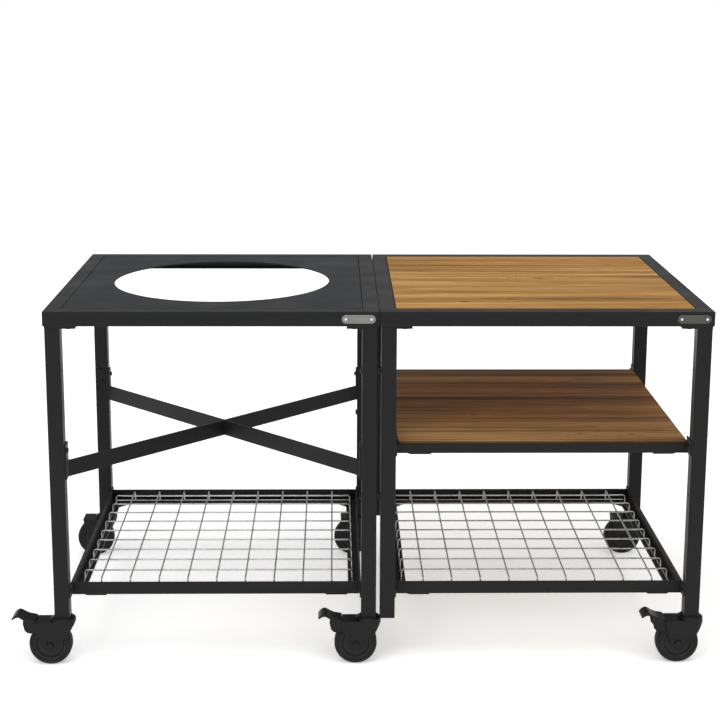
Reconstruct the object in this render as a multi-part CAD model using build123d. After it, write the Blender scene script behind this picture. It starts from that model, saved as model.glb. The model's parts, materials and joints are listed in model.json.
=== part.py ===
from build123d import *
import math
import os

# Modular outdoor table: two square steel modules joined side by side on casters.
# The left module carries a steel panel with a large round opening and a crossed
# support under it; the right module carries a wooden top and a wooden shelf.
# Millimetres, +Z up, front of the table towards -Y, floor at Z = 0.

# ------------------------------------------------------------ driving dimensions
MOD_W = 759.0          # one module, along X
MOD_D = 760.0          # one module, along Y
SEAM = 2.0             # gap between the two rims
TOP_Z = 850.0          # work height

RIM_W = 36.0           # rim tube, seen from above
RIM_H = 34.0           # rim tube, seen from the front
RIM_T = 2.0            # tube wall
LEDGE_W = 16.0         # strip inside the rim that carries the insert
LEDGE_T = 3.0
BOARD_T = 28.0         # wooden inserts
INSERT_GAP = 2.0       # dark line between rim and insert
SHELF_GAP = 3.0        # shelf board to its side rails
PANEL_T = 3.0          # sheet of the panel with the round opening
HEM_T = 2.5            # folded-down edge of that panel
OPEN_R = 265.0         # round opening

LEG = 35.0             # square leg tube
LEG_T = 2.0
LEG_R = 3.0            # outer corner radius of the tube
LEG_IN = 3.5           # leg set in from the rim's outer faces
LEG_BOT = 117.0
PLATE = 70.0           # plate welded on the leg top
PLATE_T = 6.0

ANG_T = 3.0            # shelf frame steel
ANG_W = 30.0           # width of its ledge
LOW_Z0, LOW_Z1 = 162.0, 192.0      # lower frames
MID_Z0, MID_Z1 = 507.0, 530.0      # shelf frame, right module
MID_TAB = 545.0                    # its bolting tabs stand above the rails
TAB_END = 29.0         # tabs on the side rails run this far along the legs
STRIP_IN, STRIP_OUT = 36.0, 83.0   # diagonal corner strips, from the leg
STRIP_T = 3.0

BAR_T = 6.0            # crossed flat bars on edge
BAR_Z0, BAR_Z1 = 452.0, 490.0
BRK_Z1 = 536.0         # top of the angle brackets on the bar ends
BRK_W, BRK_T = 27.5, 4.0

WIRE_R = 2.0           # wire shelves
WIRE_HALF = 322.0      # centre of the outer wire
WIRE_N = 9
WIRE_PITCH = {"x": 69.0, "y": 68.0}   # of the wires along X, along Y
WIRE_OFF = {"x": 18.0, "y": 0.0}       # their middle wire, from the mat's middle
WIRE_BEND = 8.0
WIRE_ZP = LOW_Z0 + ANG_T + WIRE_R   # outer wire lies on the ledge
WIRE_ZX = LOW_Z1 - 2.5
WIRE_ZY = WIRE_ZX + 2 * WIRE_R + 0.04

JOIN_Z = (410.0, 710.0)            # joining holes in the legs
JOIN_R = 4.25
SPACER_R = 5.0         # bore of the spacers between the modules

WHEEL_R = 50.0
WHEEL_W = 32.0
CORE_R = 38.5
TRAIL = 30.0           # wheel axle behind the stem axis
DISC_R = 29.5          # upper raceway disc
DISC_Z0 = 108.5
STEM_R = 6.0
RUN = 0.05             # running clearance, radial
FORK_IN = 21.0         # inner face of the fork cheeks
FORK_T = 3.5
FORK_TOP = 108.2
FORK_TOP_T = 3.7
AXLE_R = 6.0
PED_U, PED_Z = -52.0, 92.0         # brake pedal pivot, from the stem axis
PED_R = 3.95
SHOE_R = 53.4          # brake shoe, from the wheel axis
BRK_BOLT_X, BRK_BOLT_Y = 520.0, 502.0   # bolt heights in the angle brackets
LOW_BOLT, MID_BOLT = 177.0, 529.0       # bolt heights in the shelf frames' tabs
TOE = 118.0            # reach of the pedal toe from the stem axis
NOSE = 29.0            # reach of the fork ahead of the stem axis
NOSE_R = 20.0          # its rounded front corners, in plan

BADGE_L, BADGE_H, BADGE_T = 77.0, 20.0, 1.5

# the origin stands on the floor under the middle of the whole table
HALF = SEAM / 2 + MOD_W / 2
STEM_IN = LEG_IN + LEG / 2
STEM_X = SEAM / 2 + MOD_W - STEM_IN
STEM_Y = MOD_D / 2 - STEM_IN
X_LEFT = -(STEM_X + TOE)
X_RIGHT = STEM_X + DISC_R
SHIFT = Location((-(X_LEFT + X_RIGHT) / 2, 0, 0))

LX = MOD_W / 2 - LEG_IN - LEG      # inner faces of the legs, from the module centre
LY = MOD_D / 2 - LEG_IN - LEG

parts = {}


def bx(x0, x1, y0, y1, z0, z1):
    x0, x1 = min(x0, x1), max(x0, x1)
    y0, y1 = min(y0, y1), max(y0, y1)
    return Pos((x0 + x1) / 2, (y0 + y1) / 2, (z0 + z1) / 2) * Box(x1 - x0, y1 - y0, z1 - z0)


def cz(r, x, y, z0, z1):
    return Pos(x, y, (z0 + z1) / 2) * Cylinder(r, abs(z1 - z0))


def cy(r, x, z, y0, y1):
    return Pos(x, (y0 + y1) / 2, z) * Rot(90, 0, 0) * Cylinder(r, abs(y1 - y0))


def cx(r, y, z, x0, x1):
    return Pos((x0 + x1) / 2, y, z) * Rot(0, 90, 0) * Cylinder(r, abs(x1 - x0))


def hexz(af, x, y, z0, z1):
    return Pos(x, y, z0) * extrude(RegularPolygon(af / 2, 6, major_radius=False), z1 - z0)


def hexy(af, x, z, y0, y1):
    lo, hi = min(y0, y1), max(y0, y1)
    return Pos(x, hi, z) * Rot(90, 0, 0) * extrude(RegularPolygon(af / 2, 6, major_radius=False), hi - lo)


def hexx(af, y, z, x0, x1):
    lo, hi = min(x0, x1), max(x0, x1)
    return Pos(lo, y, z) * Rot(0, 90, 0) * extrude(RegularPolygon(af / 2, 6, major_radius=False), hi - lo)


def profile_y(points, y0, y1):
    """A flat outline in X and Z, given a thickness along Y."""
    face = Plane.XZ * make_face(Polyline(*points, close=True))
    lo, hi = min(y0, y1), max(y0, y1)
    return Pos(0, hi, 0) * extrude(face, hi - lo)


def put(name, *solids):
    out = []
    for s in solids:
        out += list(s.solids())
    parts[name] = out


# ------------------------------------------------------------------ module frames
top_bolts, m8_nuts, frame_bolts, m6_nuts = [], [], [], []


def rim(cxm, badge_x):
    """Welded square tube frame with a ledge strip inside it."""
    z0, z1 = TOP_Z - RIM_H, TOP_Z
    iw, idp = MOD_W - 2 * RIM_W, MOD_D - 2 * RIM_W
    outer = extrude(Rectangle(MOD_W, MOD_D), RIM_H)
    outer = fillet(outer.edges().filter_by(Axis.Z), 3.0)
    outer = fillet(outer.edges().group_by(Axis.Z)[-1], 1.8)
    outer = fillet(outer.edges().group_by(Axis.Z)[0], 1.8)
    hole = extrude(Rectangle(iw, idp), RIM_H)
    body = outer - hole
    inner_top = [e for e in body.edges().group_by(Axis.Z)[-1]
                 if abs(e.center().X) < iw / 2 + 0.1 and abs(e.center().Y) < idp / 2 + 0.1]
    body = fillet(inner_top, 1.2)
    cav = extrude(Rectangle(MOD_W - 2 * RIM_T, MOD_D - 2 * RIM_T)
                  - Rectangle(iw + 2 * RIM_T, idp + 2 * RIM_T), RIM_H - 2 * RIM_T)
    body = body - Pos(0, 0, RIM_T) * cav
    ledge_top = RIM_H - BOARD_T
    ledge = extrude(Rectangle(iw, idp) - Rectangle(iw - 2 * LEDGE_W, idp - 2 * LEDGE_W), LEDGE_T)
    body = body + Pos(0, 0, ledge_top - LEDGE_T) * ledge
    for sx in (-1, 1):
        for sy in (-1, 1):
            for ax, ay in ((56, 18), (18, 56)):
                x, y = sx * (MOD_W / 2 - ax), sy * (MOD_D / 2 - ay)
                body = body - cz(4.3, x, y, -1, RIM_T + 1)
                top_bolts.append((cxm + x, y))
    for dx in (-29, 29):
        body = body - cy(1.55, badge_x - cxm + dx, RIM_H / 2, -MOD_D / 2 - 1, -MOD_D / 2 + RIM_T + 1)
    return Pos(cxm, 0, z0) * body


def leg(cxm, sx, sy, braced, shelf):
    """Square tube with its top plate, holes for every bolt that passes it."""
    x0, y0 = sx * (MOD_W / 2 - STEM_IN), sy * (MOD_D / 2 - STEM_IN)
    ztop = TOP_Z - RIM_H - PLATE_T
    tube = extrude(RectangleRounded(LEG, LEG, LEG_R)
                   - RectangleRounded(LEG - 2 * LEG_T, LEG - 2 * LEG_T, LEG_R - LEG_T), ztop - LEG_BOT)
    body = Pos(x0, y0, LEG_BOT) * tube
    px, py = sx * (MOD_W / 2 - LEG_IN), sy * (MOD_D / 2 - LEG_IN)
    qx, qy = px - sx * PLATE, py - sy * PLATE
    cut = 26.0
    plate = make_face(Polyline((px, py), (qx, py), (qx, qy + sy * cut),
                               (qx + sx * cut, qy), (px, qy), close=True))
    plate = Pos(0, 0, ztop) * extrude(plate, PLATE_T)
    body = body + plate
    for ax, ay in ((56, 18), (18, 56)):
        body = body - cz(4.3, sx * (MOD_W / 2 - ax), sy * (MOD_D / 2 - ay), ztop - 1, ztop + PLATE_T + 1)
    for z in JOIN_Z:
        body = body - cx(JOIN_R, y0, z, x0 - LEG, x0 + LEG)
    xin, yin = sx * LX, sy * LY
    for z in [LOW_BOLT] + ([MID_BOLT] if shelf else []):
        body = body - cx(3.2, y0, z, xin - 3, xin + 3)
        bolt_x(cxm, sx, y0, z, LX, ANG_T)
    if braced:
        body = body - cx(3.2, y0, BRK_BOLT_X, xin - 3, xin + 3)
        body = body - cy(3.2, x0, BRK_BOLT_Y, yin - 3, yin + 3)
        bolt_x(cxm, sx, y0, BRK_BOLT_X, LX, BRK_T)
        bolt_y(cxm + x0, BRK_BOLT_Y, sy, LY, BRK_T)
    return Pos(cxm, 0, 0) * body


def bolt_y(x, z, sy, y_face, grip):
    """Bolt through a plate of thickness grip into the leg face at sy * y_face."""
    a = y_face - grip
    b = hexy(10, x, z, sy * (a - 4), sy * a) + cy(3, x, z, sy * a, sy * (y_face + 10))
    frame_bolts.append(b)
    n = hexy(10, x, z, sy * (y_face + LEG_T), sy * (y_face + LEG_T + 5))
    m6_nuts.append(n - cy(3.05, x, z, sy * y_face, sy * (y_face + 10)))


def bolt_x(cxm, sx, y, z, x_face, grip):
    a = x_face - grip
    b = hexx(10, y, z, cxm + sx * (a - 4), cxm + sx * a) + cx(3, y, z, cxm + sx * a, cxm + sx * (x_face + 10))
    frame_bolts.append(b)
    n = hexx(10, y, z, cxm + sx * (x_face + LEG_T), cxm + sx * (x_face + LEG_T + 5))
    m6_nuts.append(n - cx(3.05, y, z, cxm + sx * x_face, cxm + sx * (x_face + 10)))


def ring(cxm, z0, z1, tab_top, hole_z):
    """Welded angle frame: upright rails with a ledge at their foot, tabs on the side
    rails that bolt to the legs, and a diagonal strip under each corner."""
    x, y, t = LX, LY, ANG_T
    body = bx(-x, x, -y, -y + t, z0, z1) + bx(-x, x, y - t, y, z0, z1)
    body += bx(-x, -x + t, -y, y, z0, z1) + bx(x - t, x, -y, y, z0, z1)
    body += bx(-x, x, -y, -y + ANG_W, z0, z0 + t) + bx(-x, x, y - ANG_W, y, z0, z0 + t)
    body += bx(-x, -x + ANG_W, -y, y, z0, z0 + t) + bx(x - ANG_W, x, -y, y, z0, z0 + t)
    for sx in (-1, 1):
        for sy in (-1, 1):
            tab = bx(sx * (x - t), sx * x, sy * (y - 12), sy * (y + TAB_END), z0, tab_top)
            ends = [e for e in tab.edges().filter_by(Axis.X) if abs(e.center().Y) > y]
            body += fillet(ends, 5.0)
            body -= cx(3.2, sy * (MOD_D / 2 - STEM_IN), hole_z, sx * (x - t - 1), sx * (x + 1))
            a, b = STRIP_IN, STRIP_OUT
            f = make_face(Polyline((sx * (x - a), sy * (y - 1)), (sx * (x - 1), sy * (y - a)),
                                   (sx * (x - 1), sy * (y - b)), (sx * (x - b), sy * (y - 1)), close=True))
            body += Pos(0, 0, z0 - STRIP_T) * extrude(f, STRIP_T)
    return Pos(cxm, 0, 0) * body


def bar(cxm, sign, notch_top):
    """Flat bar on edge from leg to opposite leg, with an angle welded on each end."""
    ex, ey = LX - 2, sign * (LY - 2)
    length = 2 * math.hypot(ex, ey)
    ang = math.degrees(math.atan2(ey, ex))
    body = Pos(0, 0, (BAR_Z0 + BAR_Z1) / 2) * Rot(0, 0, ang) * Box(length, BAR_T, BAR_Z1 - BAR_Z0)
    mid = (BAR_Z0 + BAR_Z1) / 2
    other = -ang
    lap = BAR_T + 0.4
    if notch_top:
        cut = Pos(0, 0, (mid - 0.1 + BAR_Z1 + 5) / 2) * Rot(0, 0, other) * Box(60, lap, BAR_Z1 + 5 - mid + 0.1)
    else:
        cut = Pos(0, 0, (BAR_Z0 - 5 + mid + 0.1) / 2) * Rot(0, 0, other) * Box(60, lap, mid + 0.1 - BAR_Z0 + 5)
    body -= cut
    for s in (-1, 1):
        sx, sy = s, s * sign
        body += bx(sx * (LX - BRK_T), sx * LX, sy * (LY - BRK_T), sy * (LY + BRK_W), BAR_Z0, BRK_Z1)
        body += bx(sx * (LX - BRK_T), sx * (LX + BRK_W), sy * (LY - BRK_T), sy * LY, BAR_Z0, BRK_Z1)
        body -= cx(3.2, sy * (MOD_D / 2 - STEM_IN), BRK_BOLT_X, sx * (LX - BRK_T - 1), sx * (LX + 1))
        body -= cy(3.2, sx * (MOD_W / 2 - STEM_IN), BRK_BOLT_Y, sy * (LY - BRK_T - 1), sy * (LY + 1))
    return Pos(cxm, 0, 0) * body


def wire_shelf(cxm):
    """Welded wire mat: every wire bent down at both ends onto the outer wire."""
    h = WIRE_HALF
    zp, top = WIRE_ZP, WIRE_ZP + WIRE_R + 0.02
    out = []
    for s in (-1, 1):
        rod = cx(WIRE_R, s * h, zp, -h - WIRE_R, h + WIRE_R)
        out.append(fillet(rod.edges().filter_by(GeomType.CIRCLE), 0.8))
        out.append(cy(WIRE_R, s * h, zp, -h + WIRE_R + 0.02, h - WIRE_R - 0.02))
    for i in range(WIRE_N):
        for run in ("x", "y"):
            p = (i - (WIRE_N - 1) / 2) * WIRE_PITCH[run] + WIRE_OFF[run]
            z = WIRE_ZX if run == "x" else WIRE_ZY
            pts = [(-h, top), (-h, z), (h, z), (h, top)]
            pts = [(a, p, b) if run == "x" else (p, a, b) for a, b in pts]
            w = FilletPolyline(*pts, radius=WIRE_BEND)
            out.append(sweep(Plane(w @ 0, z_dir=w % 0) * Circle(WIRE_R), path=w))
    return [Pos(cxm, 0, 0) * s for s in out]


def badge(x):
    z = TOP_Z - RIM_H / 2
    p = Plane.XZ * SlotOverall(BADGE_L, BADGE_H)
    s = extrude(p, BADGE_T)
    s = Pos(x, -MOD_D / 2, z) * s
    front = s.edges().group_by(Axis.Y)[0]
    s = chamfer(front, 0.4)
    screws = []
    for dx in (-29, 29):
        s -= cy(1.6, x + dx, z, -MOD_D / 2 - BADGE_T - 1, -MOD_D / 2 + 1)
        y0 = -MOD_D / 2 - BADGE_T
        head = cy(3.1, x + dx, z, y0 - 1.3, y0)
        head = fillet(head.edges().group_by(Axis.Y)[0], 0.8)
        screws.append(head + cy(1.5, x + dx, z, y0, -MOD_D / 2 + 7))
    return s, screws


left, right = -HALF, HALF
badge_left, badge_right = -SEAM / 2 - 8 - BADGE_L / 2, SEAM / 2 + MOD_W - 9 - BADGE_L / 2

put("left_top_rim", rim(left, badge_left))
put("right_top_rim", rim(right, badge_right))

# steel panel: sheet with folded-down edges and the round opening
pw, pd = MOD_W - 2 * RIM_W - 2 * INSERT_GAP, MOD_D - 2 * RIM_W - 2 * INSERT_GAP
pan = extrude(Rectangle(pw, pd), BOARD_T)
pan = fillet(pan.edges().filter_by(Axis.Z), 4.0)
pan = fillet(pan.edges().group_by(Axis.Z)[-1], 1.5)
pan -= extrude(RectangleRounded(pw - 2 * HEM_T, pd - 2 * HEM_T, 1.5), BOARD_T - PANEL_T)
pan -= cz(OPEN_R, 0, 0, 0, BOARD_T + 1)
put("left_top_panel", Pos(left, 0, TOP_Z - BOARD_T) * pan)

brd = extrude(Rectangle(pw, pd), BOARD_T)
brd = fillet(brd.edges().filter_by(Axis.Z), 3.0)
brd = fillet(brd.edges().group_by(Axis.Z)[-1], 1.5)
put("right_top_board", Pos(right, 0, TOP_Z - BOARD_T) * brd)

sw, sd = 2 * (LX - ANG_T - SHELF_GAP), 2 * (LY - ANG_T - INSERT_GAP)
shelf = extrude(Rectangle(sw, sd), BOARD_T)
shelf = fillet(shelf.edges().filter_by(Axis.Z), 3.0)
shelf = fillet(shelf.edges().group_by(Axis.Z)[-1], 1.5)
put("right_shelf_board", Pos(right, 0, MID_Z0 + ANG_T) * shelf)

for side, cxm in (("left", left), ("right", right)):
    for fy, sy in (("front", -1), ("rear", 1)):
        for lr, sx in (("left", -1), ("right", 1)):
            put(f"{side}_leg_{fy}_{lr}", leg(cxm, sx, sy, side == "left", side == "right"))

put("left_lower_frame", ring(left, LOW_Z0, LOW_Z1, LOW_Z1, LOW_BOLT))
put("right_lower_frame", ring(right, LOW_Z0, LOW_Z1, LOW_Z1, LOW_BOLT))
put("right_shelf_frame", ring(right, MID_Z0, MID_Z1, MID_TAB, MID_BOLT))
put("left_support_bar_lower", bar(left, 1, True))
put("left_support_bar_upper", bar(left, -1, False))
put("left_wire_shelf", *wire_shelf(left))
put("right_wire_shelf", *wire_shelf(right))

b1, s1 = badge(badge_left)
b2, s2 = badge(badge_right)
put("left_badge_plate", b1)
put("right_badge_plate", b2)
put("badge_screws", *s1, *s2)

# ------------------------------------------------------------------- fasteners
zt = TOP_Z - RIM_H
bolts, nuts = [], []
for x, y in top_bolts:
    bolts.append(hexz(13, x, y, zt - PLATE_T - 2.6, zt - PLATE_T) + cz(4, x, y, zt - PLATE_T, zt + 14))
    nuts.append(hexz(13, x, y, zt + RIM_T, zt + RIM_T + 6.5) - cz(4.05, x, y, zt, zt + 12))

join, spacers = [], []
legx = SEAM / 2 + LEG_IN + LEG          # inner face of a middle leg
for sy in (-1, 1):
    for z in JOIN_Z:
        y = sy * STEM_Y
        g = SEAM / 2 + LEG_IN
        nut = g + LEG_T                 # the nut sits inside the right leg's tube
        join.append(hexx(13, y, z, -legx - 4.0, -legx) + cx(4, y, z, -legx, nut + 9.5))
        nuts.append(hexx(13, y, z, nut, nut + 6.5) - cx(4.05, y, z, nut - 1, nut + 8))
        spacers.append(cx(8.5, y, z, -g, g) - cx(SPACER_R, y, z, -g - 1, g + 1))
put("top_bolts", *bolts)
put("m8_nuts", *nuts)
put("frame_bolts", *frame_bolts)
put("m6_nuts", *m6_nuts)
put("joining_bolts", *join)
put("joining_spacers", *spacers)

# --------------------------------------------------------------- leg ends, casters
casters = [("front_left", -STEM_X, -STEM_Y, True),
           ("front_middle", -(SEAM / 2 + STEM_IN), -STEM_Y, True),
           ("front_right", STEM_X, -STEM_Y, True),
           ("rear_left", -STEM_X, STEM_Y, False),
           ("rear_middle", -(SEAM / 2 + STEM_IN), STEM_Y, False),
           ("rear_right", STEM_X, STEM_Y, False)]
bore = LEG - 2 * LEG_T

inserts, stems = [], []
for _, x, y, _b in casters:
    plug = Pos(x, y, LEG_BOT) * extrude(RectangleRounded(bore, bore, LEG_R - LEG_T), 24)
    inserts.append(plug - cz(STEM_R + 0.05, x, y, LEG_BOT - 1, LEG_BOT + 30))
    disc = Plane.XZ * make_face(Polyline((0, DISC_Z0), (DISC_R, DISC_Z0), (DISC_R, DISC_Z0 + 3.2),
                                         (DISC_R - 1.5, DISC_Z0 + 4.4), (21.5, LEG_BOT), (0, LEG_BOT), close=True))
    disc = Pos(x, y, 0) * revolve(disc, Axis.Z)
    pin = cz(STEM_R, x, y, 104.0, LEG_BOT + 22)
    head = cz(10.0, x, y, 99.4, 104.2)
    stems.append(disc + pin + head)
put("leg_stem_inserts", *inserts)
put("caster_stems", *stems)

caps = []
for sy in (-1, 1):
    x, y = SEAM / 2 + STEM_IN, sy * STEM_Y
    cap = Pos(x, y, LEG_BOT - 2.4) * extrude(RectangleRounded(LEG, LEG, LEG_R), 2.4)
    cap += Pos(x, y, LEG_BOT) * extrude(RectangleRounded(bore, bore, LEG_R - LEG_T)
                                        - RectangleRounded(bore - 5, bore - 5, LEG_R - LEG_T), 16)
    caps.append(cap)
put("leg_end_caps", *caps)


def wheel_revolve(points):
    f = Plane.XZ * make_face(Polyline(*points, close=True))
    return Rot(90, 0, 0) * revolve(f, Axis.Z)


def nose(x0, x1, half, r, z0, z1):
    """Upright block from x0 to x1 with its two front corners rounded in plan."""
    b = bx(x0, x1, -half, half, z0, z1)
    return fillet([e for e in b.edges().filter_by(Axis.Z) if e.center().X > x1 - 1], r)


def fork(braked):
    """Pressed yoke: round-fronted top, walls that taper down to the axle, about the stem axis."""
    w = FORK_IN + FORK_T
    ax = Pos(-TRAIL, 50) * Circle(15)
    side = Polyline((NOSE, FORK_TOP), (NOSE, 103), (11, 71), (-59, 84), (-62, FORK_TOP), close=True)
    side = Plane.XZ * make_hull([*ax.edges(), *side.edges()])
    side = Pos(0, w + 5, 0) * extrude(side, 2 * w + 10)
    walls = nose(-70, NOSE, w, NOSE_R, 20, FORK_TOP)
    walls -= nose(-80, NOSE - FORK_T, FORK_IN, NOSE_R - FORK_T, 10, FORK_TOP - FORK_TOP_T)
    body = walls & side
    rim_edges = [e for e in body.edges() if abs(e.center().Z - FORK_TOP) < 0.01 and e.center().X > -61]
    body = fillet(rim_edges, 2.0)
    body -= cz(STEM_R + RUN, 0, 0, 90, 120)
    body -= cy(AXLE_R + 0.05, -TRAIL, 50, -40, 40)
    if braked:
        body -= cy(PED_R + RUN, PED_U, PED_Z, -40, 40)
    return body


def pedal():
    """Brake lever: tread with a humped toe that turns down, two cheeks with pivot pegs, a shoe."""
    w = FORK_IN - 0.5
    tread = [(-62.6, 112.3), (-80, 115.3), (-90, 119.6), (-97, 124.0), (-102, 126.0), (-107, 125.4), (-112, 122.2),
             (-116, 117.8), (-TOE, 114.6), (-116.6, 113.2), (-112, 116.0), (-107.5, 118.6), (-103, 119.4),
             (-99, 118.4), (-92, 113.6), (-84, 110.2), (-62.6, 106.4)]
    body = profile_y(tread, -w, w)
    cheek = [(-44, 97.5), (-60, 101.0), (-63, 104.5), (-63, 110.0), (-80, 113.5), (-90, 114.0), (-91.5, 104.0),
             (-88, 88.0), (-82, 81.5), (-74, 80.0), (-56, 83.5), (-45, 87.5)]
    for y0, y1 in ((17.2, w), (-w, -17.2)):
        body += profile_y(cheek, y0, y1)
    arc = []
    for r, span in ((SHOE_R, (33, 37, 41, 45, 49)), (SHOE_R + 4.0, (49, 45, 41, 37, 33))):
        for a in span:
            a = math.radians(a)
            arc.append((-TRAIL - r * math.cos(a), 50 + r * math.sin(a)))
    body += profile_y(arc, -w, w)
    for y0, y1 in ((17.2, FORK_IN + FORK_T - 0.3), (-(FORK_IN + FORK_T - 0.3), -17.2)):
        body += cy(PED_R, PED_U, PED_Z, y0, y1)
    return body


hw = WHEEL_W / 2
tyre = wheel_revolve([(CORE_R, -hw + 1), (CORE_R, hw - 1), (40, hw), (44, hw), (47.5, hw - 1.6), (49.3, hw - 4),
                      (WHEEL_R, hw - 7.5), (WHEEL_R, -hw + 7.5), (49.3, -hw + 4), (47.5, -hw + 1.6),
                      (44, -hw), (40, -hw)])
core = wheel_revolve([(AXLE_R + RUN, -20), (AXLE_R + RUN, 20), (12, 20), (13, 19), (13.5, 13), (16, 11.5),
                      (30, 11.5), (33, 14.6), (CORE_R, 14.6), (CORE_R, -14.6), (33, -14.6), (30, -11.5),
                      (16, -11.5), (13.5, -13), (13, -19), (12, -20)])
yo = FORK_IN + FORK_T
axle = cy(AXLE_R, 0, 0, -yo - 1, yo + 3.5)
axle_head = cy(9.0, 0, 0, -yo - 4.0, -yo)
axle_head = fillet(axle_head.edges().group_by(Axis.Y)[0], 1.8)
axle = axle + axle_head
axle_nut = hexy(16, 0, 0, yo, yo + 4.0) - cy(AXLE_R + 0.05, 0, 0, yo - 1, yo + 6)

for name, x, y, braked in casters:
    n = f"caster_{name}"
    at = Pos(x, y, 0)
    hub = Pos(x - TRAIL, y, 50)
    put(f"{n}_fork", at * fork(braked))
    put(f"{n}_axle", hub * axle, hub * axle_nut)
    put(f"{n}_wheel", hub * core)
    put(f"{n}_tyre", hub * tyre)
    if braked:
        put(f"{n}_pedal", at * pedal())

# ------------------------------------------------------------------------ export
os.makedirs("parts", exist_ok=True)
lo, hi = [1e9] * 3, [-1e9] * 3
for name, solids in parts.items():
    moved = [s.moved(SHIFT) for s in solids]
    shape = moved[0] if len(moved) == 1 else Compound(children=moved)
    shape.label = name
    bb = shape.bounding_box()
    lo = [min(a, b) for a, b in zip(lo, (bb.min.X, bb.min.Y, bb.min.Z))]
    hi = [max(a, b) for a, b in zip(hi, (bb.max.X, bb.max.Y, bb.max.Z))]
    export_step(shape, f"parts/{name}.step")
print(len(parts), "nodes", sum(len(s) for s in parts.values()), "solids")
print("box", [round(v, 3) for v in lo], [round(v, 3) for v in hi], "shift", SHIFT.position.X)
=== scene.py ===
import json
import math
import random

import bmesh
import bpy
from mathutils import Euler, Matrix, Vector


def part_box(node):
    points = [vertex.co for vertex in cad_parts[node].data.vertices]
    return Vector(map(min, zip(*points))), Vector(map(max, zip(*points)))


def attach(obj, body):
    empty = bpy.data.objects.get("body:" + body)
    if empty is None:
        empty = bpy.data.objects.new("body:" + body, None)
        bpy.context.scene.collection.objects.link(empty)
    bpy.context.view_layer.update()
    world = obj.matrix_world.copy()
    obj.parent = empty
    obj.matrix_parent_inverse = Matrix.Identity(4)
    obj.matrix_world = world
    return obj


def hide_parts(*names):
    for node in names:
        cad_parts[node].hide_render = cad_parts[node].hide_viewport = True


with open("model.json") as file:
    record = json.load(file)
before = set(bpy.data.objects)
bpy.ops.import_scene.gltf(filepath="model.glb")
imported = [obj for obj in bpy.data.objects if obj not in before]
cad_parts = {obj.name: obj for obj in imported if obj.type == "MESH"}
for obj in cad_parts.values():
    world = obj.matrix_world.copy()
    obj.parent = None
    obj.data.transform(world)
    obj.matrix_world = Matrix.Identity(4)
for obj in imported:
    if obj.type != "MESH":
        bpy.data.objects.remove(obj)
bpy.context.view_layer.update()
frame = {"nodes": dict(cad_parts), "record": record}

nodes = frame["nodes"]
scene = bpy.context.scene


# ---------------------------------------------------------------- node helpers
def new(nt, kind, ins=None, **props):
    n = nt.nodes.new("ShaderNode" + kind)
    for k, v in props.items():
        setattr(n, k, v)
    for k, v in (ins or {}).items():
        if isinstance(v, bpy.types.NodeSocket):
            nt.links.new(v, n.inputs[k])
        else:
            n.inputs[k].default_value = v
    return n


def maths(nt, op, a, b=None, c=None, clamp=False):
    ins = {0: a}
    if b is not None:
        ins[1] = b
    if c is not None:
        ins[2] = c
    return new(nt, "Math", ins, operation=op, use_clamp=clamp).outputs[0]


def vmaths(nt, op, a, b):
    n = new(nt, "VectorMath", {0: a, 1: b}, operation=op)
    return n.outputs["Value"] if op in ("DOT_PRODUCT", "DISTANCE") else n.outputs["Vector"]


def remap(nt, v, lo, hi, a, b):
    return new(nt, "MapRange", {0: v, 1: lo, 2: hi, 3: a, 4: b}).outputs[0]


def mix(nt, fac, a, b, blend="MIX"):
    n = new(nt, "Mix", data_type="RGBA", blend_type=blend)
    for i, v in ((0, fac), (6, a), (7, b)):
        if isinstance(v, bpy.types.NodeSocket):
            nt.links.new(v, n.inputs[i])
        else:
            n.inputs[i].default_value = v
    return n.outputs[2]


def ramp(nt, fac, stops):
    n = new(nt, "ValToRGB", {0: fac})
    e = n.color_ramp.elements
    while len(e) < len(stops):
        e.new(0.5)
    for el, (p, c) in zip(e, stops):
        el.position = p
        el.color = (*c, 1.0)
    return n.outputs[0]


def noise(nt, vec, scale, detail=2.0, rough=0.5):
    return new(nt, "TexNoise", {"Vector": vec, "Scale": scale, "Detail": detail, "Roughness": rough}).outputs[0]


def material(name):
    m = bpy.data.materials.new(name)
    m.use_nodes = True
    nt = m.node_tree
    nt.nodes.clear()
    out = new(nt, "OutputMaterial")
    bsdf = new(nt, "BsdfPrincipled")
    nt.links.new(bsdf.outputs[0], out.inputs[0])
    return m, nt, bsdf


def plug(nt, bsdf, **ins):
    for k, v in ins.items():
        s = bsdf.inputs[k.replace("_", " ")]
        if isinstance(v, bpy.types.NodeSocket):
            nt.links.new(v, s)
        else:
            s.default_value = v


def stretch(nt, vec, sx, sy, sz):
    return vmaths(nt, "MULTIPLY", vec, (sx, sy, sz))


def edge_wear(nt, radius):
    """(normal softened at edges, 0..1 mask of those edges)."""
    bev = new(nt, "Bevel", {"Radius": radius}, samples=6).outputs[0]
    geo = new(nt, "NewGeometry").outputs["Normal"]
    turn = maths(nt, "SUBTRACT", 1.0, vmaths(nt, "DOT_PRODUCT", bev, geo))
    return bev, remap(nt, turn, 0.02, 0.28, 0.0, 1.0)


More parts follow.
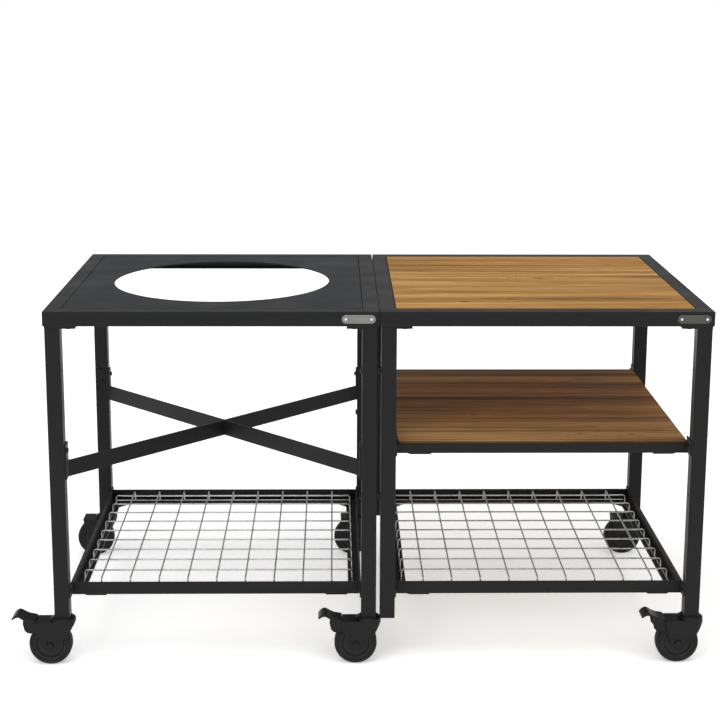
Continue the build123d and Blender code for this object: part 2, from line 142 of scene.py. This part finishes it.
# ---------------------------------------------------------------- materials
def powder_coat(name, base, light, grain=900.0, bump=0.22, rough=(0.42, 0.58), wear=0.55, bevel=0.0011,
                sheen=0.0):
    """Fine-textured powder coat: pebbled grain, slow mottling, thinner and paler on edges."""
    m, nt, b = material(name)
    p = new(nt, "TexCoord").outputs["Object"]
    slow = noise(nt, p, 7.0, 3.0, 0.55)
    fleck = noise(nt, p, grain * 0.9, 2.0, 0.6)
    peel = new(nt, "TexVoronoi", {"Vector": p, "Scale": grain * 0.55}, feature="SMOOTH_F1").outputs["Distance"]
    bev, edge = edge_wear(nt, bevel)
    c = mix(nt, remap(nt, slow, 0.3, 0.7, 0.0, 1.0), (*base, 1), (*[x * 1.28 for x in base], 1))
    c = mix(nt, remap(nt, fleck, 0.52, 0.8, 0.0, 0.5), c, (*light, 1))
    scuff = noise(nt, p, 55.0, 4.0, 0.65)
    c = mix(nt, maths(nt, "MULTIPLY", edge, remap(nt, scuff, 0.35, 0.7, 0.15 * wear, wear)), c, (*[x * 1.5 for x in light], 1))
    r = maths(nt, "ADD", remap(nt, slow, 0.3, 0.7, rough[0], rough[1]), remap(nt, fleck, 0.3, 0.7, -0.05, 0.05))
    h = maths(nt, "ADD", maths(nt, "MULTIPLY", peel, 0.7), maths(nt, "MULTIPLY", fleck, 0.6))
    bp = new(nt, "Bump", {"Strength": bump, "Distance": 0.0004, "Height": h, "Normal": bev}).outputs[0]
    plug(nt, b, Base_Color=c, Roughness=r, Normal=bp, Specular_IOR_Level=0.2,
         Sheen_Weight=sheen, Sheen_Roughness=0.45)
    return m


def drawn_wire(name):
    """Polished drawn stainless wire: fine draw marks, faint heat tint and dull patches."""
    m, nt, b = material(name)
    p = new(nt, "TexCoord").outputs["Object"]
    slow = noise(nt, p, 18.0, 3.0, 0.6)
    fine = noise(nt, p, 1600.0, 2.0, 0.5)
    c = mix(nt, remap(nt, slow, 0.35, 0.65, 0.0, 1.0), (0.42, 0.42, 0.415, 1), (0.60, 0.60, 0.59, 1))
    c = mix(nt, remap(nt, fine, 0.4, 0.8, 0.0, 0.35), c, (0.24, 0.24, 0.238, 1))
    r = maths(nt, "ADD", remap(nt, slow, 0.3, 0.7, 0.2, 0.36), remap(nt, fine, 0.3, 0.7, -0.05, 0.05))
    bp = new(nt, "Bump", {"Strength": 0.12, "Distance": 0.0002, "Height": fine}).outputs[0]
    plug(nt, b, Base_Color=c, Metallic=1.0, Roughness=r, Normal=bp)
    return m


def brushed(name, dark, light, rough, along=(6.0, 900.0, 2600.0)):
    m, nt, b = material(name)
    p = new(nt, "TexCoord").outputs["Object"]
    s = noise(nt, stretch(nt, p, *along), 1.0, 4.0, 0.62)
    slow = noise(nt, p, 45.0, 3.0, 0.6)
    bev, edge = edge_wear(nt, 0.0006)
    c = mix(nt, remap(nt, s, 0.3, 0.7, 0.0, 1.0), (*dark, 1), (*light, 1))
    c = mix(nt, remap(nt, slow, 0.5, 0.8, 0.0, 0.4), c, (*dark, 1))
    r = maths(nt, "ADD", remap(nt, s, 0.3, 0.7, rough - 0.07, rough + 0.08), maths(nt, "MULTIPLY", edge, -0.08))
    bp = new(nt, "Bump", {"Strength": 0.25, "Distance": 0.00015, "Height": s, "Normal": bev}).outputs[0]
    plug(nt, b, Base_Color=c, Metallic=1.0, Roughness=r, Normal=bp)
    return m


def moulded(name, base, light, rough, grain=1300.0, bump=0.12):
    """Moulded plastic or rubber: fine spark-eroded grain with scuffed, dusty patches."""
    m, nt, b = material(name)
    p = new(nt, "TexCoord").outputs["Object"]
    slow = noise(nt, p, 35.0, 4.0, 0.6)
    fine = noise(nt, p, grain, 2.0, 0.55)
    bev, edge = edge_wear(nt, 0.0007)
    c = mix(nt, remap(nt, slow, 0.35, 0.72, 0.0, 0.8), (*base, 1), (*light, 1))
    c = mix(nt, maths(nt, "MULTIPLY", edge, 0.45), c, (*[x * 1.7 for x in light], 1))
    r = maths(nt, "ADD", remap(nt, slow, 0.3, 0.7, rough - 0.07, rough + 0.1), remap(nt, fine, 0.3, 0.7, -0.04, 0.04))
    bp = new(nt, "Bump", {"Strength": bump, "Distance": 0.0003, "Height": fine, "Normal": bev}).outputs[0]
    plug(nt, b, Base_Color=c, Roughness=r, Normal=bp, Specular_IOR_Level=0.22)
    return m


def wood(name, stops, knots, spread, joint_and_side_shade):
    """Oiled hardwood in glued staves. Growth rings run round a pith line of each stave's own, so
    faces show long grain and ends show arcs; each knot bends the rings round it."""
    m, nt, b = material(name)
    p = new(nt, "TexCoord").outputs["Object"]
    a1 = new(nt, "Attribute", attribute_name="stave_pith").outputs["Vector"]
    a2 = new(nt, "Attribute", attribute_name="stave_look").outputs["Vector"]
    s1, s2 = new(nt, "SeparateXYZ", {0: a1}), new(nt, "SeparateXYZ", {0: a2})
    tone, hue, edge = s2.outputs[0], s2.outputs[1], s2.outputs[2]
    sp = new(nt, "SeparateXYZ", {0: p})
    x = maths(nt, "ADD", sp.outputs[0], s1.outputs[0])
    q = new(nt, "CombineXYZ", {0: x, 1: sp.outputs[1], 2: sp.outputs[2]}).outputs[0]
    dy = maths(nt, "SUBTRACT", sp.outputs[1], s1.outputs[1])
    dz = maths(nt, "SUBTRACT", sp.outputs[2], s1.outputs[2])
    d = maths(nt, "SQRT", maths(nt, "ADD", maths(nt, "MULTIPLY", dy, dy), maths(nt, "MULTIPLY", dz, dz)))
    d = maths(nt, "ADD", d, remap(nt, noise(nt, stretch(nt, q, 2.2, 9.0, 9.0), 1.0, 3.0, 0.5), 0.0, 1.0, -0.02, 0.02))
    core = None
    for kx, ky, kr in knots:
        off = vmaths(nt, "MULTIPLY", vmaths(nt, "SUBTRACT", p, (kx, ky, 0.0)), (0.42, 1.0, 0.0))
        r = new(nt, "VectorMath", {0: off}, operation="LENGTH").outputs["Value"]
        g = maths(nt, "POWER", 2.718, maths(nt, "MULTIPLY", maths(nt, "MULTIPLY", r, r), -1.0 / (2.2 * kr) ** 2))
        d = maths(nt, "ADD", d, maths(nt, "MULTIPLY", g, 2.4 * kr))
        eye = remap(nt, r, kr * 0.25, kr * 0.75, 1.0, 0.0)
        core = eye if core is None else maths(nt, "MAXIMUM", core, eye)
    uneven = noise(nt, new(nt, "CombineXYZ", {0: maths(nt, "MULTIPLY", d, 55.0)}).outputs[0], 1.0, 2.0, 0.6)
    ph = maths(nt, "ADD", maths(nt, "MULTIPLY", d, 1150.0), maths(nt, "MULTIPLY", uneven, 22.0))
    ring = maths(nt, "POWER", maths(nt, "MULTIPLY_ADD", maths(nt, "SINE", ph), 0.5, 0.5), 1.6)
    band = noise(nt, stretch(nt, q, 1.3, 58.0, 58.0), 1.0, 4.0, 0.66)
    fibre = noise(nt, stretch(nt, q, 9.0, 520.0, 520.0), 1.0, 3.0, 0.6)
    pores = remap(nt, noise(nt, stretch(nt, q, 34.0, 1500.0, 1500.0), 1.0, 2.0, 0.5), 0.6, 0.74, 0.0, 1.0)
    broad = noise(nt, stretch(nt, q, 1.1, 19.0, 19.0), 1.0, 3.0, 0.55)
    f = maths(nt, "MULTIPLY", remap(nt, uneven, 0.25, 0.75, 0.0, 1.0), 0.2)
    f = maths(nt, "ADD", f, remap(nt, broad, 0.3, 0.7, -0.28, 0.28))
    f = maths(nt, "ADD", f, maths(nt, "MULTIPLY", ring, 0.16))
    f = maths(nt, "ADD", f, remap(nt, band, 0.3, 0.7, -0.1, 0.46))
    f = maths(nt, "ADD", f, maths(nt, "MULTIPLY", remap(nt, fibre, 0.25, 0.75, 0.0, 1.0), 0.18))
    f = maths(nt, "ADD", f, remap(nt, tone, 0.0, 1.0, -spread, spread))
    c = ramp(nt, f, stops)
    c = mix(nt, maths(nt, "MULTIPLY", hue, 0.3), c, mix(nt, 1.0, c, (1.12, 0.9, 0.72, 1), "MULTIPLY"))
    c = mix(nt, maths(nt, "MULTIPLY", pores, 0.4), c, (0.11, 0.05, 0.02, 1))
    if core is not None:
        c = mix(nt, maths(nt, "MULTIPLY", core, 0.85), c, (0.09, 0.036, 0.014, 1))
    # Darkens the glue joints between staves, and darkens the board's vertical side and end faces as painted shade.
    c = mix(nt, maths(nt, "MULTIPLY", edge, joint_and_side_shade), c, (0.07, 0.03, 0.012, 1))
    r = maths(nt, "ADD", remap(nt, band, 0.3, 0.7, 0.5, 0.64), maths(nt, "MULTIPLY", pores, 0.14))
    h = maths(nt, "SUBTRACT", maths(nt, "MULTIPLY", fibre, 0.5), pores)
    bp = new(nt, "Bump", {"Strength": 0.2, "Distance": 0.0003, "Height": h}).outputs[0]
    plug(nt, b, Base_Color=c, Roughness=r, Normal=bp, Specular_IOR_Level=0.13)
    return m


BLACK = powder_coat("powder_coat_black", (0.0046, 0.005, 0.0049), (0.0145, 0.0154, 0.0152), sheen=0.085)
PANEL = powder_coat("powder_coat_panel", (0.0085, 0.0098, 0.0125), (0.021, 0.024, 0.029), grain=700.0, bump=0.3, sheen=0.05)
CAST = powder_coat("caster_paint", (0.005, 0.0052, 0.0051), (0.019, 0.0192, 0.019), grain=1500.0, bump=0.08,
                   rough=(0.3, 0.46), wear=0.8, bevel=0.0009)
BOLT = powder_coat("black_oxide", (0.007, 0.007, 0.0075), (0.026, 0.026, 0.026), grain=1900.0, bump=0.06,
                   rough=(0.3, 0.45), wear=0.9, bevel=0.0006)
WIRE = drawn_wire("stainless_wire_drawn")
BADGE = brushed("badge_brushed", (0.145, 0.145, 0.134), (0.275, 0.275, 0.257), 0.34)
# A darker copy of the badge steel for the right plate: painted shade.
BADGE_SHADED = brushed("badge_brushed_shaded_copy", (0.058, 0.056, 0.05), (0.122, 0.119, 0.107), 0.36)
SCREW = brushed("screw_bright", (0.7, 0.7, 0.69), (0.9, 0.9, 0.89), 0.2, (400.0, 400.0, 400.0))
PLASTIC = moulded("cap_plastic", (0.008, 0.008, 0.008), (0.02, 0.02, 0.02), 0.5)
CORE = moulded("wheel_core_plastic", (0.010, 0.010, 0.0102), (0.021, 0.021, 0.021), 0.44)
TYRE = moulded("wheel_tyre_rubber", (0.006, 0.006, 0.006), (0.017, 0.0168, 0.0162), 0.62, grain=800.0, bump=0.2)

by_slot = {"black_powder_coat": BLACK, "stainless_wire": WIRE, "badge_steel": BADGE, "bright_screw": SCREW,
           "black_fastener": BOLT, "black_plastic": PLASTIC, "caster_steel": CAST, "caster_core": CORE,
           "caster_tyre": TYRE}
# The right badge plate takes the darker copy of the badge steel, painted shade.
special = {"left_top_panel": PANEL, "right_badge_plate": BADGE_SHADED}
for sub in frame["record"]["subparts"]:
    o = nodes[sub["node"]]
    m = special.get(sub["node"], by_slot.get(sub["material_slot"]))
    if m is not None:
        o.data.materials.clear()
        o.data.materials.append(m)


# ---------------------------------------------------------------- wooden inserts
def staves(name, node, rows, seed, arris, rim_arris):
    """A board glued up from staves that run along X: each its own block with eased edges."""
    rnd = random.Random(seed)
    lo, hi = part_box(node)
    bm = bmesh.new()
    pith = bm.faces.layers.float_vector.new("stave_pith")
    look = bm.faces.layers.float_vector.new("stave_look")
    cuts = [0.0]
    for i in range(rows):
        cuts.append(cuts[-1] + rnd.uniform(0.86, 1.14))
    ys = [lo.y + (hi.y - lo.y) * c / cuts[-1] for c in cuts]
    for j in range(rows):
        xs = [lo.x, hi.x]
        for i in range(len(xs) - 1):
            x0, x1, y0, y1 = xs[i], xs[i + 1], ys[j], ys[j + 1]
            geo = bmesh.ops.create_cube(bm, size=1.0)
            vs = geo["verts"]
            for v in vs:
                v.co = Vector((x0 if v.co.x < 0 else x1, y0 if v.co.y < 0 else y1, lo.z if v.co.z < 0 else hi.z))
            edges = {e for v in vs for e in v.link_edges}

            def at_rim(e):
                mid = (e.verts[0].co + e.verts[1].co) / 2
                return (min(abs(mid.x - lo.x), abs(mid.x - hi.x)) < 1e-6 and abs(e.verts[0].co.x - e.verts[1].co.x) < 1e-6) or \
                       (min(abs(mid.y - lo.y), abs(mid.y - hi.y)) < 1e-6 and abs(e.verts[0].co.y - e.verts[1].co.y) < 1e-6)

            rim_e = [e for e in edges if at_rim(e)]
            inner = [e for e in edges if e not in rim_e]
            base = {f for v in vs for f in v.link_faces}
            made = bmesh.ops.bevel(bm, geom=inner, offset=arris, segments=1, affect="EDGES", clamp_overlap=True)
            seam_faces = set(made["faces"])
            live = [e for e in rim_e if e.is_valid]
            if live:
                bmesh.ops.bevel(bm, geom=live, offset=rim_arris, segments=3, affect="EDGES", clamp_overlap=True)
            cx_, cy_ = (x0 + x1) / 2, (y0 + y1) / 2
            pv = Vector((rnd.uniform(-9, 9), cy_ + rnd.uniform(-0.045, 0.045), lo.z - rnd.uniform(0.012, 0.11)))
            tone, hue = rnd.betavariate(2.0, 2.0), rnd.random()
            bm.normal_update()
            for f in bm.faces:
                if f[pith].length == 0.0:
                    f[pith] = pv
                    # Third look value: 1 on the bevels between staves (dark glue joints), 0.85 on vertical faces such
                    # as the board's sides and ends, which the wood material darkens as painted shade.
                    f[look] = (tone, hue, 1.0 if f in seam_faces else 0.85 if abs(f.normal.z) < 0.2 else 0.0)
    me = bpy.data.meshes.new(name)
    bm.normal_update()
    bm.to_mesh(me)
    bm.free()
    o = bpy.data.objects.new(name, me)
    scene.collection.objects.link(o)
    return o


HALF, SH = 0.3805, 0.04425
right_x = HALF + SH

top = staves("right_top_staves", "right_top_board", 10, 11, 0.0003, 0.0014)
top.data.materials.append(wood(
    "acacia_top",
    [(0.0, (0.145, 0.064, 0.016)), (0.3, (0.30, 0.15, 0.040)), (0.6, (0.435, 0.236, 0.068)), (1.0, (0.65, 0.40, 0.142))],
    [(right_x + 0.030, 0.030, 0.011), (right_x - 0.180, -0.262, 0.009), (right_x + 0.24, 0.22, 0.006), (right_x - 0.26, 0.12, 0.005)],
    0.17, 0.4))
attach(top, "right_top_board"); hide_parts("right_top_board")

shelf = staves("right_shelf_staves", "right_shelf_board", 9, 5, 0.0011, 0.0028)
# The shelf's ramp runs darker than the top's, painted shade under the top board; its vertical side faces take the
# stronger painted shade (0.9).
shelf.data.materials.append(wood(
    "acacia_shelf",
    [(0.0, (0.085, 0.042, 0.016)), (0.3, (0.235, 0.124, 0.045)), (0.6, (0.415, 0.232, 0.09)), (1.0, (0.62, 0.38, 0.16))],
    [(right_x + 0.098, -0.290, 0.008), (right_x + 0.215, -0.292, 0.007), (right_x - 0.14, -0.12, 0.006)],
    0.2, 0.9))
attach(shelf, "right_shelf_board"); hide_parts("right_shelf_board")


# ---------------------------------------------------------------- weld nuggets on the wire shelves
def nuggets(name, cx_, seed):
    rnd = random.Random(seed)
    bm = bmesh.new()
    spots = []
    for i in range(9):
        x, y = cx_ + (i - 4) * 0.068, (i - 4) * 0.069 + 0.018
        for j in range(9):
            spots.append((x, (j - 4) * 0.069 + 0.018, 0.19152, 0.0029, 0.0029, 0.0013))
        for s in (-1, 1):
            spots.append((x, s * 0.322, 0.16905, 0.0030, 0.0021, 0.0012))
            spots.append((cx_ + s * 0.322, y, 0.16905, 0.0021, 0.0030, 0.0012))
    for x, y, z, a, b_, c in spots:
        k = rnd.uniform(0.85, 1.15)
        mt = Matrix.Translation((x, y, z)) @ Euler((0, 0, rnd.uniform(-0.4, 0.4))).to_matrix().to_4x4() @ \
            Matrix.Diagonal((a * k, b_ * k, c, 1.0))
        r = bmesh.ops.create_icosphere(bm, subdivisions=2, radius=1.0, matrix=mt)
        for v in r["verts"]:
            v.co += Vector((rnd.uniform(-1, 1), rnd.uniform(-1, 1), rnd.uniform(-0.4, 0.4))) * 0.00014
    for f in bm.faces:
        f.smooth = True
    me = bpy.data.meshes.new(name)
    bm.to_mesh(me)
    bm.free()
    o = bpy.data.objects.new(name, me)
    scene.collection.objects.link(o)
    me.materials.append(WIRE)
    return o


for side, cx_ in (("left", -HALF + SH), ("right", HALF + SH)):
    o = nuggets(f"{side}_wire_welds", cx_, 3 if side == "left" else 4)
    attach(o, f"{side}_wire_shelf")


# ---------------------------------------------------------------- badge screws
def pan_screws(name, spots, y_face):
    """Domed screw heads with a cross recess, each turned a little differently."""
    rnd = random.Random(8)
    bm = bmesh.new()
    rings = [(0.0031, 0.0), (0.0031, 0.00035), (0.00285, 0.00075), (0.0024, 0.00104), (0.0017, 0.00123)]
    arm, half = 0.00125, 0.00034
    cross = [(arm, -half), (arm, half), (half, half), (half, arm), (-half, arm), (-half, half),
             (-arm, half), (-arm, -half), (-half, -half), (-half, -arm), (half, -arm), (half, -half)]
    for sx, sz in spots:
        turn = rnd.uniform(0, math.pi)
        place = Matrix.Translation((sx, y_face, sz)) @ Matrix.Rotation(math.pi / 2, 4, "X") @ Matrix.Rotation(turn, 4, "Z")
        prev = None
        loops = []
        for r, h in rings:
            loops.append([bm.verts.new(place @ Vector((r * math.cos(t * math.tau / 36), r * math.sin(t * math.tau / 36), h)))
                          for t in range(36)])
        for a, b_ in zip(loops, loops[1:]):
            for t in range(36):
                bm.faces.new((a[t], a[(t + 1) % 36], b_[(t + 1) % 36], b_[t])).smooth = True
        bm.faces.new(list(reversed(loops[0])))
        lip = [bm.verts.new(place @ Vector((u, v, 0.0013))) for u, v in cross]
        foot = [bm.verts.new(place @ Vector((u * 0.8, v * 0.8, 0.0005))) for u, v in cross]
        edges = [bm.edges.get((loops[-1][t], loops[-1][(t + 1) % 36])) for t in range(36)]
        edges += [bm.edges.new((lip[t], lip[(t + 1) % 12])) for t in range(12)]
        bmesh.ops.triangle_fill(bm, use_beauty=True, edges=edges, normal=place.to_3x3() @ Vector((0, 0, 1)))
        for t in range(12):
            bm.faces.new((lip[t], foot[t], foot[(t + 1) % 12], lip[(t + 1) % 12]))
        bm.faces.new(foot)
    bmesh.ops.recalc_face_normals(bm, faces=bm.faces)
    me = bpy.data.meshes.new(name)
    bm.to_mesh(me)
    bm.free()
    o = bpy.data.objects.new(name, me)
    scene.collection.objects.link(o)
    me.materials.append(SCREW)
    return o


spots = []
for plate in ("left_badge_plate", "right_badge_plate"):
    lo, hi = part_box(plate)
    for dx in (-0.029, 0.029):
        spots.append(((lo.x + hi.x) / 2 + dx, (lo.z + hi.z) / 2))
face_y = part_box("left_badge_plate")[0].y
o = pan_screws("badge_screw_heads", spots, face_y)
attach(o, "table"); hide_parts("badge_screws")


# ---------------------------------------------------------------- floor, light, camera
def floor():
    bm = bmesh.new()
    bmesh.ops.create_grid(bm, x_segments=8, y_segments=8, size=14.0)
    me = bpy.data.meshes.new("floor")
    bm.to_mesh(me)
    bm.free()
    o = bpy.data.objects.new("floor", me)
    scene.collection.objects.link(o)
    m, nt, b = material("floor_pale")
    p = new(nt, "TexCoord").outputs["Object"]
    s = noise(nt, p, 3.0, 3.0, 0.5)
    far = new(nt, "VectorMath", {0: p}, operation="LENGTH").outputs["Value"]
    plug(nt, b, Base_Color=mix(nt, s, (0.95, 0.95, 0.948, 1), (0.97, 0.97, 0.968, 1)), Roughness=0.9,
         Emission_Color=(1, 1, 1, 1), Emission_Strength=remap(nt, far, 1.2, 4.0, 0.4, 0.62))
    me.materials.append(m)


def area(name, loc, target, size, power, color=(1, 1, 1)):
    d = bpy.data.lights.new(name, "AREA")
    d.shape, d.size, d.energy, d.color = "SQUARE", size, power, color
    o = bpy.data.objects.new(name, d)
    o.location = loc
    o.rotation_euler = (Vector(target) - Vector(loc)).to_track_quat("-Z", "Y").to_euler()
    scene.collection.objects.link(o)


floor()
area("top_softbox", (0.2, -0.9, 3.6), (0.0, 0.0, 0.5), 3.0, 30.0)
area("front_softbox", (-1.2, -3.2, 4.4), (0.0, 0.0, 0.4), 2.4, 36.0)
area("rear_softbox", (1.2, 4.4, 3.4), (0.0, 0.0, 0.6), 2.4, 2.5)

w = bpy.data.worlds.new("studio")
scene.world = w
w.use_nodes = True
wt = w.node_tree
bg = wt.nodes["Background"]
aim = new(wt, "SeparateXYZ", {0: new(wt, "TexCoord").outputs["Generated"]})
rise = maths(wt, "ABSOLUTE", aim.outputs[2])
sky = maths(wt, "ADD", remap(wt, aim.outputs[1], -0.5, 0.4, 0.66, 0.12), remap(wt, aim.outputs[2], 0.6, 0.95, 0.0, 0.75))
wide = maths(wt, "MULTIPLY", remap(wt, rise, 0.16, 0.34, 1.0, 0.0), remap(wt, aim.outputs[1], -0.2, 0.5, 0.45, 0.42))
level = maths(wt, "MAXIMUM", maths(wt, "MAXIMUM", sky, wide), remap(wt, aim.outputs[2], 0.1, 0.17, 1.0, 0.0))
wt.links.new(new(wt, "CombineColor", {0: level, 1: level, 2: level}).outputs[0], bg.inputs[0])
bg.inputs[1].default_value = 1.0

cam = bpy.data.cameras.new("camera")
cam.sensor_width = 36.0
cam.lens = 1560.8 * 36.0 / 720.0
cam.shift_y = -0.09
cam.clip_end = 100.0
co = bpy.data.objects.new("camera", cam)
scene.collection.objects.link(co)
pitch, yaw, roll = (math.radians(v) for v in (11.36, 0.99, 0.22))
co.location = (-0.060, -3.817, 1.579)
co.rotation_euler = (Euler((0, 0, -yaw)).to_matrix() @ Euler((math.pi / 2 - pitch, 0, 0)).to_matrix()
                     @ Euler((0, 0, roll)).to_matrix()).to_euler()
scene.camera = co
scene.view_settings.view_transform = "Standard"

bpy.context.view_layer.update()
